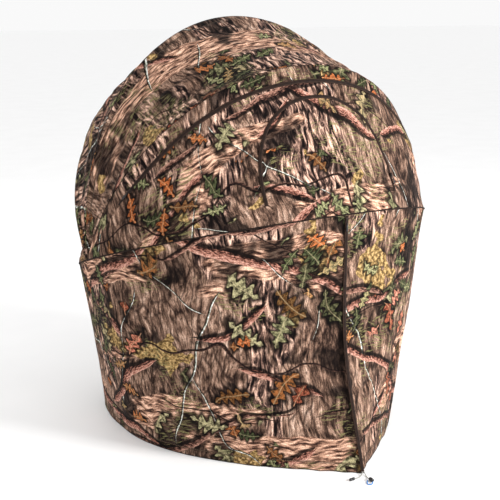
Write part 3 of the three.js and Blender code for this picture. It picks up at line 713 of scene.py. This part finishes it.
def gore_points(low, high, rows, seed, sag, ripple, shoulder):
    """Cloth from one hoop to the next, low then high, with sleeves at the hoops and tension wrinkles."""
    turn, share = np.meshgrid(TURNS, np.linspace(0, 1, rows), indexing="ij")
    a, b = arc(low, turn), arc(high, turn)
    points = a * (1 - share[..., None]) + b * share[..., None]
    n = outward(points)
    along, across = flat_lengths(points)
    span = np.linalg.norm(b - a, axis=-1)
    inside = np.sin(np.pi * share)
    room = smooth(0.0, 0.25, span)
    hub_distance = np.sin(np.radians(turn))
    near = np.minimum(share * span, (1 - share) * span)
    off_edge = smooth(0, 0.006, near)
    slack = -sag * inside * room
    long_folds = wander(along * 2.2, across * 7.0, seed, 3) * ripple
    creases = -np.abs(wander(along * 5.0, across * 16.0, seed + 4.0, 2)) * ripple * 0.7
    fan = np.cos(share * np.pi * FAN_FOLDS + seed) * FAN_DEPTH * smooth(0.55, 0.05, hub_distance)
    stitch = smooth(0.007, 0.0, np.abs(near - SLEEVE * 0.62))
    sleeve = SLEEVE_RISE * smooth(SLEEVE * 0.55, 0.004, near) - SLEEVE_STITCH_DIP * stitch
    puckers = wander(along * 34.0, near * 9.0, seed + 9.0, 1) * PUCKER_DEPTH
    puckers = puckers * smooth(0.10, 0.012, near) * off_edge
    bulge = shoulder * inside * np.exp(-(((turn - SHOULDER_TURN) / SHOULDER_SPREAD) ** 2))
    height = slack + bulge + (long_folds + creases) * smooth(0.0, 0.05, near) * room
    height = height + fan * smooth(0, 0.01, near)
    height = height + (sleeve + puckers) * smooth(0.02, 0.1, span) * smooth(0, 0.003, near)
    return points + n * height[..., None], share


def make_gore(name, node, low, high, rows, seed, sag, ripple, shoulder, bodies, shift):
    points, share = gore_points(low, high, rows, seed, sag, ripple, shoulder)
    low_edge, high_edge = edge_distances(points)
    if low is RING_REAR:
        low_edge = NO_SEAM
    piece, used = cloth_piece(name, node, points, shift, (low_edge, high_edge))
    blend_across(piece, share.ravel()[used], *bodies)


make_gore(
    "rear_gore_cloth", "rear_gore", RING_REAR, REAR_HOOP, 64, 3.0, 0.018, 0.014, 0.0,
    ("chair_and_base", "rear_hoop_body"), (3.1, 0.4),
)
make_gore(
    "crown_rear_cloth", "crown_rear_gore", REAR_HOOP, TOP_HOOP, 52, 7.0, 0.010, 0.013, 0.036,
    ("rear_hoop_body", "top_hoop_body"), (0.7, 2.3),
)
make_gore(
    "crown_front_cloth", "crown_front_gore", TOP_HOOP, FRONT_HOOP, 52, 12.0, 0.009, 0.012, 0.0,
    ("top_hoop_body", "front_hoop_body"), (5.3, 1.2),
)


def make_visor():
    turn, share = np.meshgrid(TURNS, np.linspace(0, 1, 9), indexing="ij")
    points = zip_arc(turn) * (1 - share[..., None]) + arc(FRONT_HOOP, turn) * share[..., None]
    n = outward(points)
    along, across = flat_lengths(points)
    height = wander(along * 14, across * 8, 21.0, 2) * 0.0035 * np.sin(np.pi * share)
    points = points + n * height[..., None]
    piece, _ = cloth_piece("visor_cloth", "visor_lip", points, (1.9, 4.6))
    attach(piece, "front_hoop_body")


make_visor()

# ---- front panel and its window

panel_foot = arc(RING_FRONT, np.array(90.0))
panel_rise = zip_arc(np.array(90.0)) - panel_foot
PANEL_LENGTH = float(np.linalg.norm(panel_rise))
PANEL_UP = panel_rise / PANEL_LENGTH
SNAP_REACH = 0.0062


def window_rim(steps):
    """The window's arch from its +X foot, as (x, distance up the panel)."""
    angle = np.radians(np.linspace(0, 180, steps))
    across = np.cos(angle)
    x = np.sign(across) * np.abs(across) ** (2 / WINDOW_SIDE_POWER) * WINDOW_HALF_WIDTH
    up = WINDOW_BASE + np.sin(angle) ** (2 / WINDOW_TOP_POWER) * WINDOW_HEIGHT
    return np.stack([x, up], -1)


def panel_bulge(x, up):
    """How far the panel's cloth stands off its straight lines: slack, drag lines and a rippled foot."""
    inside = np.clip(np.sin(np.pi * np.clip(up / PANEL_LENGTH, 0, 1)), 0, 1)
    folds = wander(x * 3.0, up * 5.5, 31.0, 3) * 0.009
    drag = -np.abs(wander(x * 7 + up * 5, up * 3 - x * 2, 35.0, 2)) * 0.007
    ripple = wander(x * 26, up * 7, 38.0, 1) * 0.0016 * smooth(0.12, 0.01, up)
    return (0.004 + folds + drag) * inside * smooth(0, 0.06, np.minimum(up, PANEL_LENGTH - up)) + ripple


def panel_edges(x):
    """Points of the panel's lower and upper edge at x."""
    turn = np.degrees(np.arccos(np.clip(x / HALF_WIDTH, -1, 1)))
    return arc(RING_FRONT, turn), zip_arc(turn)


def panel_heights(x):
    """Distances up the panel's flat frame of its lower and upper edge at x."""
    return [(edge - panel_foot) @ PANEL_UP for edge in panel_edges(x)]


def on_panel(x, up):
    """Points on the panel's cloth over (x, up), and its outward normals there."""

    def surface(x, up):
        low, high = panel_heights(x)
        share = ((up - low) / (high - low))[..., None]
        low, high = panel_edges(x)
        return low * (1 - share) + high * share

    step = 4e-6
    sideways = surface(x + step, up) - surface(x - step, up)
    n = np.cross(sideways, surface(x, up + step) - surface(x, up - step))
    n /= np.linalg.norm(n, axis=-1, keepdims=True)
    n = np.where((n[..., 1] > 0)[..., None], -n, n)
    return surface(x, up) + n * panel_bulge(x, up)[..., None], n


def snap_to_rim(x, up, rim):
    """Moves the grid points nearest the rim onto it, so that the cut edge runs smoothly."""
    keep_x, keep_up = x.copy(), up.copy()
    inside = window_inside(x, up)
    edge = np.zeros_like(inside)
    changes = inside[1:] != inside[:-1]
    edge[1:] |= changes
    edge[:-1] |= changes
    changes = inside[:, 1:] != inside[:, :-1]
    edge[:, 1:] |= changes
    edge[:, :-1] |= changes
    for i, j in zip(*np.nonzero(edge)):
        gap = np.hypot(rim[:, 0] - x[i, j], rim[:, 1] - up[i, j])
        k = gap.argmin()
        if gap[k] < SNAP_REACH:
            keep_x[i, j], keep_up[i, j] = rim[k]
    return keep_x, keep_up


def window_inside(x, up):
    rise = np.clip((up - WINDOW_BASE) / WINDOW_HEIGHT, 0, 1)
    half = WINDOW_HALF_WIDTH * (1 - rise**WINDOW_TOP_POWER) ** (1 / WINDOW_SIDE_POWER)
    return (np.abs(x) < half) & (up > WINDOW_BASE) & (up < WINDOW_BASE + WINDOW_HEIGHT)


def make_panel():
    """The front panel and the window flap are cut from one grid, so their edges meet."""
    turn = np.linspace(180 - HUB_TURN, HUB_TURN, 241)
    x_line = HALF_WIDTH * np.cos(np.radians(turn))
    x, share = np.meshgrid(x_line, np.linspace(0, 1, 65), indexing="ij")
    low, high = panel_heights(x)
    up = low + share * (high - low)
    x, up = snap_to_rim(x, up, window_rim(1400))
    points, _ = on_panel(x, up)
    points[:, 0], points[:, -1] = arc(RING_FRONT, turn), zip_arc(turn)
    middles = [(g[:-1, :-1] + g[1:, :-1] + g[:-1, 1:] + g[1:, 1:]) / 4 for g in (x, up)]
    flap_faces = window_inside(*middles)
    for name, node, body, rests_on, keep in (
        ("front_panel_cloth", "front_panel", "chair_and_base", ["ring_hoop"], ~flap_faces),
        ("window_flap_cloth", "window_flap", "window_flap_body", ["front_panel_cloth"], flap_faces),
    ):
        piece, _ = cloth_piece(name, node, points, (8.4, 3.3), keep=keep)
        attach(piece, body)
        drop_with_hood(piece)


make_panel()

# ---- skirt

SKIRT_ROUND = 190
SKIRT_DOWN = 92
HEM_CLEAR = 0.001
FLANK_BILLOW = {1: 0.042, -1: -0.004}


def skirt_wrinkles(around, down, along, depth, side):
    """Puckers below the ring seam, slow vertical folds, and drag lines that run to the pegged prow."""
    seed = {1: 50.0, -1: 60.0}[side]
    puckers = np.abs(wander(along * 20, depth * 3.5, seed, 2)) * -0.006 * smooth(0.16, 0.0, depth)
    slow = wander(along * 2.6, depth * 1.1, seed + 3, 2) * 0.016
    folds = -np.abs(wander(along * 6.5, depth * 1.6, seed + 6, 3)) * 0.009
    near_prow = np.exp(-((around / 34) ** 2))
    lean = along * 0.75 * side + depth
    drag = -np.abs(wander(lean * 13, (depth - along * 0.75) * 2.2, seed + 9, 2)) * 0.012
    drag = drag * near_prow * smooth(0.25, 0.7, down)
    middle = np.sin(np.pi * np.clip(down, 0, 1)) ** 0.7
    hem_wave = wander(along * 4.0, along * 0.0, seed + 12, 2) * 0.006 * smooth(0.8, 1.0, down)
    held = smooth(0.0, 1.6, around) * smooth(180.0, 178.4, around)
    spread = np.sin(np.pi * smooth(5, 150, around)) * down
    hem_wave = hem_wave + FLANK_BILLOW[side] * spread
    return ((slow + folds) * middle + drag + puckers * smooth(0, 0.004, depth) + hem_wave) * held


def make_skirt(node, side, shift):
    around = np.linspace(0, 180, SKIRT_ROUND)
    around, down = np.meshgrid(around, np.linspace(0, 1, SKIRT_DOWN), indexing="ij")
    points = skirt_flat(around, down, side)
    n = outward(points)
    along, across = flat_lengths(points)
    depth = across - across[:, :1]
    height = skirt_wrinkles(around, down, along, depth, side)
    points = points + n * height[..., None]
    points[..., 2] = np.maximum(points[..., 2], HEM_CLEAR)
    points[:, -1, 2] = HEM_CLEAR
    edges = (NO_SEAM, edge_distances(points)[1])
    piece, _ = cloth_piece(node + "_cloth", node, points, shift, edges)
    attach(piece, "chair_and_base")


make_skirt("skirt_left", 1, (11.2, 6.1))
make_skirt("skirt_right", -1, (14.6, 0.9))

# ---- zips, seams and binding

TAPE_COLUMNS = 9
TAPE_CROWN = 0.0014
TAPE_THICK = 0.0008
ARC_ZIP_TURNS = (157.5, 22.5)
SKIRT_ZIP_WAVER = 0.003
WELT_RADIUS = 0.0022
TAB_SIDES = 40
TAB_WIDTH = 0.0068
TAB_HOLE = 0.0013
TAB_THICK = 0.0014


def ribbon(name, points, normals, width, lift):
    """A tape along points that stands a little proud in the middle, with its own coordinates in metres."""
    tangents = np.gradient(points, axis=0)
    tangents /= np.linalg.norm(tangents, axis=-1, keepdims=True)
    sides = np.cross(normals, tangents)
    sides /= np.linalg.norm(sides, axis=-1, keepdims=True)
    run = np.concatenate([[0], np.cumsum(np.linalg.norm(np.diff(points, axis=0), axis=-1))])
    grid, uvs = [], []
    for p, n, w, r in zip(points, normals, sides, run):
        for k in range(TAPE_COLUMNS):
            place = (k / (TAPE_COLUMNS - 1) - 0.5) * width
            crown = TAPE_CROWN * float(smooth(0.42, 0.25, abs(place) / width))
            grid.append(p + w * place + n * (lift + crown))
            uvs.append((r, place))
    piece = mesh_piece(name, grid, grid_faces(len(points), TAPE_COLUMNS), uvs, TAPE)
    face_outwards(piece)
    return thicken(piece, TAPE_THICK)


def make_zip(name, points, normals, lift, width=TAPE_WIDTH):
    """A zip's tape on points of the cloth; all but the skirt's get their own copy of their mesh."""
    normals = np.where((normals[:, 1] > 0)[:, None], -normals, normals)
    piece = ribbon(name + "_cloth_tape", points, normals, width, lift)
    declare(piece, name + "_tape", "chair_and_base")
    if name != "skirt_zip":
        drop_with_hood(piece)


def make_zips():
    turn = np.linspace(*ARC_ZIP_TURNS, 221)
    points = zip_arc(turn)
    n = np.cross(np.gradient(points, axis=0), points - arc(RING_FRONT, turn))
    n /= np.linalg.norm(n, axis=-1, keepdims=True)
    make_zip("arc_zip", points, n, lift=0.0026)

    rim = window_rim(200)
    points, n = on_panel(rim[:, 0], rim[:, 1])
    make_zip("window_zip", points, n, lift=0.0012, width=TAPE_WIDTH * 0.9)

    down = np.linspace(0.004, 0.998, 120)
    points = skirt_flat(np.zeros_like(down), down, 1)
    tangent = np.gradient(points, axis=0)
    tangent /= np.linalg.norm(tangent, axis=-1, keepdims=True)
    n = np.cross(tangent, np.array([1.0, 0, 0]))
    points[:, 0] += SKIRT_ZIP_WAVER * np.sin(down * 9.0)
    make_zip("skirt_zip", points, n, lift=0.0016)


def make_ring_welt():
    """The dark piping sewn into the seam over the ring hoop, all the way round."""
    around = np.linspace(0, 180, 150)
    left = ring(around, 1)
    right = ring(around[::-1], -1)[1:-1]
    path = np.concatenate([left, right])
    wobble = wander(np.arange(len(path)) * 0.9, np.zeros(len(path)), 71.0, 2) * 0.0012
    path[:, 2] += wobble
    piece = tube_mesh("ring_seam_welt", path, WELT_RADIUS, WELT, sides=8, closed=True)
    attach(piece, "chair_and_base")


make_zips()
make_ring_welt()


def node_frame(name):
    """Middle of a CAD brick and its three edges, longest last."""
    data = frame["nodes"][name].data
    places = [Vector(p) for p in sorted({tuple(round(c, 6) for c in v.co) for v in data.vertices})]
    middle = sum(places, Vector()) / len(places)
    corner = places[0]
    reach = sorted((p - corner for p in places[1:]), key=lambda d: d.length)
    edges = []
    for d in reach:
        if all(abs(d.normalized().dot(e.normalized())) < 0.05 for e in edges):
            edges.append(d)
    return middle, edges


def rounded_brick(size, bevel, taper=0.0):
    """A block with bevelled edges, narrower at its +Y end by the taper."""
    points = []
    for y, z, x in itertools.product((-1, 1), repeat=3):
        narrow = 1 - taper * (y + 1) / 2
        points.append((x * size[0] / 2 * narrow, y * size[1] / 2, z * size[2] / 2))
    faces = [(0, 1, 3, 2), (4, 6, 7, 5), (0, 4, 5, 1), (2, 3, 7, 6), (0, 2, 6, 4), (1, 5, 7, 3)]
    return bevelled(mesh_piece("brick", points, faces), bevel, 3)


def bevelled(piece, width, segments):
    edge = piece.modifiers.new("bevel", "BEVEL")
    edge.width = width
    edge.segments = segments
    return piece


def joined(name, parts, material, node, body):
    """Several meshes as one declared piece, each with its modifiers applied."""
    bpy.context.view_layer.update()
    graph = bpy.context.evaluated_depsgraph_get()
    points, faces = [], []
    for part in parts:
        made = part.evaluated_get(graph).to_mesh()
        start = len(points)
        points += [part.matrix_world @ v.co for v in made.vertices]
        faces += [[start + i for i in f.vertices] for f in made.polygons]
    for part in parts:
        bpy.data.objects.remove(part)
    piece = mesh_piece(name, points, faces, None, material)
    declare(piece, node, body)
    return piece


def tab_plate(length):
    """The pull tab's flat plate from its pivot along +Y, with a hole for the slider's bridge."""
    angles = [2 * math.pi * k / TAB_SIDES for k in range(TAB_SIDES)]
    outline = []
    for a in angles:
        half = TAB_WIDTH / 2 * (0.62 + 0.38 * float(smooth(-0.9, 0.5, math.sin(a))))
        x = math.copysign(abs(math.cos(a)) ** 0.6, math.cos(a)) * half
        outline.append((x, (math.sin(a) + 1) / 2 * length))
    hole = [(TAB_HOLE * math.cos(a), length * 0.17 + TAB_HOLE * math.sin(a)) for a in angles]
    points, faces = [], []
    for level in (-TAB_THICK / 2, TAB_THICK / 2):
        points += [(x, y, level) for x, y in outline + hole]
    rim, far, far_rim = TAB_SIDES, 2 * TAB_SIDES, 3 * TAB_SIDES
    for k in range(TAB_SIDES):
        m = (k + 1) % TAB_SIDES
        faces.append((k, m, rim + m, rim + k))
        faces.append((far + k, far_rim + k, far_rim + m, far + m))
        faces.append((k, far + k, far + m, m))
        faces.append((rim + k, rim + m, far_rim + m, far_rim + k))
    return bevelled(mesh_piece("plate", points, faces), 0.00025, 2)


def make_slider(prefix, body, tab_body):
    """A zip slider with its bridge, and the pull tab hinged on it with a hole and a grip."""
    middle, edges = node_frame(prefix + "_slider")
    out, across, along = (e.normalized() for e in edges)
    pivot = Vector(JOINTS[tab_body + "_lift"]["pos_m"])
    tab_middle, _ = node_frame(prefix + "_pull_tab")
    if (tab_middle - middle).dot(along) < 0:
        along = -along
    if (middle - Vector((0, HUB.y, HUB.z))).dot(out) < 0:
        out = -out
    across = along.cross(out)

    def place(piece, where):
        basis = Matrix((across, along, out)).transposed().to_4x4()
        basis.translation = where
        piece.data.transform(basis)
        piece.data.update()
        return piece

    low = place(rounded_brick((0.0095, 0.0145, 0.0012), 0.0005, -0.3), middle - out * 0.0018)
    high = place(rounded_brick((0.0085, 0.0135, 0.0013), 0.0006, -0.25), middle + out * 0.0004)
    post = place(rounded_brick((0.002, 0.004, 0.003), 0.0004), middle - along * 0.003 - out * 0.0008)
    arch = [(-0.0052, 0.0008), (-0.0044, 0.0022), (0.0, 0.0025), (0.0044, 0.0022), (0.0052, 0.0008)]
    arch = smooth_path([middle + along * a + out * h for a, h in arch], 14)
    parts = [low, high, post, tube_mesh("bridge", arch, 0.0007, None, sides=8)]
    slider = joined(prefix + "_slider_body", parts, ZIP_METAL, prefix + "_slider", body)

    length = (tab_middle - pivot).length * 2
    start = pivot + along * 0.0002
    parts = [place(tab_plate(length), start)]
    for k in range(5):
        rib = start + along * length * (0.45 + 0.1 * k) + out * TAB_THICK / 2
        ends = [rib + across * side for side in (-0.0024, 0.0, 0.0024)]
        parts.append(tube_mesh("rib", ends, 0.0005, None, sides=6))
    tab = joined(prefix + "_pull", parts, PULL, prefix + "_pull_tab", tab_body)
    if prefix != "skirt_zip":
        drop_with_hood(slider)
        drop_with_hood(tab)


for zipped in ("arc", "window", "skirt"):
    make_slider(zipped + "_zip", zipped + "_slider", zipped + "_tab")

# ---- chair cloth


def make_sling(node, dip, body):
    """A cloth sling slung between two tubes, reaching a little past the CAD sling at each side; the real
    one is sewn round the tubes.
    """
    low, high = sling_rails(node)
    rows, columns = 40, 46
    down = (high - low).normalized()
    out = down.cross(Vector((1, 0, 0))).normalized()
    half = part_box(node)[1].x + SLING_WRAP
    points = np.zeros((rows, columns, 3))
    for i, j in np.ndindex(rows, columns):
        u = 2 * j / (columns - 1) - 1
        bow = 0.003 * noise.noise((i * 0.16, j * 0.11, 3.0))
        sunk = out * (bow - dip * (1 - u * u))
        points[i, j] = low.lerp(high, i / (rows - 1)) + Vector((u * half, 0, 0)) + sunk
    uvs = np.stack(flat_lengths(points), -1).reshape(-1, 2)
    faces = grid_faces(rows, columns)
    piece = mesh_piece(node + "_cloth", points.reshape(-1, 3), faces, uvs, SLING)
    thicken(piece, SLING_THICK)
    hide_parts(node)
    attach(piece, body)


def sling_rails(node):
    """The ends of a sling's middle line, front or low end first."""
    data = frame["nodes"][node].data
    places = np.array([v.co for v in data.vertices])
    edge = places[np.abs(np.abs(places[:, 0]) - np.abs(places[:, 0]).max()) < 0.002]
    low = edge[edge[:, 1] < edge[:, 1].min() + 0.006].mean(0)
    high = edge[edge[:, 1] > edge[:, 1].max() - 0.006].mean(0)
    return Vector((0, low[1], low[2])), Vector((0, high[1], high[2]))


SLING_WRAP = 0.004
SLING_THICK = 0.0016
make_sling("seat_sling", 0.016, "seat")
make_sling("back_sling", 0.012, "chair_and_base")

# ---- stake ties

MM = 0.001
PROW_Y = float(hem(np.array(0.0), 1)[1])
TIE_RIGHT = [(-3, -3, 8), (-8, -8, 5), (-16, -14, 2.5), (-26, -18, 1.8), (-37, -20, 2.4), (-46, -21, 4.7)]
TIE_LEFT = [(2, -3, 8), (1, -11, 5), (-2, -20, 2.6), (-5, -30, 1.8), (-8, -39, 2.8), (-10, -48, 6.2)]
TIE_LOOP = [
    (-19, -50, 3), (-24, -55, 1.8), (-30, -62, 1.8), (-32, -70, 1.8), (-27, -76, 1.8), (-20, -75, 3),
    (-14, -70, 5),
]


def make_tie(name, node, route, material):
    points = [Vector((x * MM, PROW_Y + y * MM, z * MM)) for x, y, z in route]
    path = smooth_path(points, 40)
    piece = tube_mesh(name, path, 0.0015, material, sides=12)
    declare(piece, node, "chair_and_base")


def make_barrel(name, node):
    """A turned plastic piece along a CAD rod, from (share of length, share of radius) pairs."""
    low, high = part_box(node)
    places = np.array([v.co for v in frame["nodes"][node].data.vertices])
    middle = places.mean(0)
    _, _, axes = np.linalg.svd(places - middle)
    span = (places - middle) @ axes[0]
    along = Vector(axes[0])
    length = span.max() - span.min()
    radius = min(high - low) / 2
    side = along.orthogonal().normalized()
    other = along.cross(side)
    points, sides = [], 28
    for share, reach in BARREL:
        for k in range(sides):
            a = 2 * math.pi * k / sides
            spoke = (side * math.cos(a) + other * math.sin(a)) * radius * reach
            points.append(Vector(middle) + along * (share - 0.5) * length + spoke)
    piece = mesh_piece(name, points, skin_faces(len(BARREL), sides), None, BLACK)
    declare(piece, node, "chair_and_base")
    return piece


BARREL = [
    (0, 0.5), (0.02, 0.75), (0.08, 0.92), (0.2, 1.0), (0.4, 1.0), (0.43, 0.86), (0.5, 0.84),
    (0.57, 0.86), (0.6, 1.0), (0.8, 1.0), (0.92, 0.92), (0.98, 0.75), (1, 0.5),
]
toggle = make_barrel("tie_toggle", "stake_tie_toggle")
lock = make_barrel("tie_lock", "stake_tie_lock")
make_tie("tie_right_cord", "stake_tie_right", TIE_RIGHT, CORD)
make_tie("tie_left_cord", "stake_tie_left", TIE_LEFT, CORD)
make_tie("tie_loop_cord", "stake_tie_loop", TIE_LOOP, BLUE)

# ---- materials of the carried-over CAD nodes

LOOKS = {
    "_frame": STEEL, "cross_bar": STEEL, "hoop": ALUMINIUM, "foot_cap": RUBBER,
    "bolt": BOLT, "nut": BOLT, "clamp": BLACK,
}
for node, piece in frame["nodes"].items():
    for word, look in LOOKS.items():
        if word in node:
            piece.data.materials.clear()
            piece.data.materials.append(look)

# ---- camera, floor and light


def aimed(name, data, place, direction):
    """A lamp or camera object that looks in a direction."""
    piece = new_object(name, data)
    piece.location = place
    piece.rotation_mode = "QUATERNION"
    piece.rotation_quaternion = Vector(direction).to_track_quat("-Z", "Y")
    return piece


def area_light(name, place, aim, size, power):
    data = bpy.data.lights.new(name, "AREA")
    data.shape = "RECTANGLE"
    data.size, data.size_y = size
    data.energy = power
    aimed(name, data, place, Vector(aim) - Vector(place))


def make_stage():
    s = Shader("studio_floor")
    tone = s.noise(s.node("ShaderNodeTexCoord").outputs["Object"], 3.0, 2.0, kind="3D")
    floor_material = s.finish(s.ramp(tone, [(0.3, "#fafafa"), (0.7, "#fdfdfd")]), None, Roughness=0.9)
    size = 60.0
    points = [(-size, -size, 0), (size, -size, 0), (size, size, 0), (-size, size, 0)]
    floor = mesh_piece("floor", points, [(0, 1, 2, 3)], None, floor_material)
    world = bpy.data.worlds.new("studio")
    bpy.context.scene.world = world
    world.use_nodes = True
    sky = world.node_tree.nodes["Background"].inputs
    sky["Color"].default_value = (1, 1, 1, 1)
    sky["Strength"].default_value = 0.95
    area_light("key", (2.4, -4.0, 2.1), (0, 0, 0.8), (1.4, 1.4), 265)
    area_light("fill", (-3.8, -0.6, 2.6), (0, 0, 0.7), (2.5, 2.5), 25)
    area_light("back", (0.5, 4.2, 3.0), (0, 0, 0.9), (2.5, 2.0), 12)
    bpy.context.scene.view_settings.view_transform = "Standard"


def make_camera():
    data = bpy.data.cameras.new("camera")
    data.lens, data.sensor_width = 72, 36
    place = (-1.8277, HUB.y - 2.9225, 1.4264)
    bpy.context.scene.camera = aimed("camera", data, place, (0.5119, 0.8262, -0.2352))


make_stage()
make_camera()
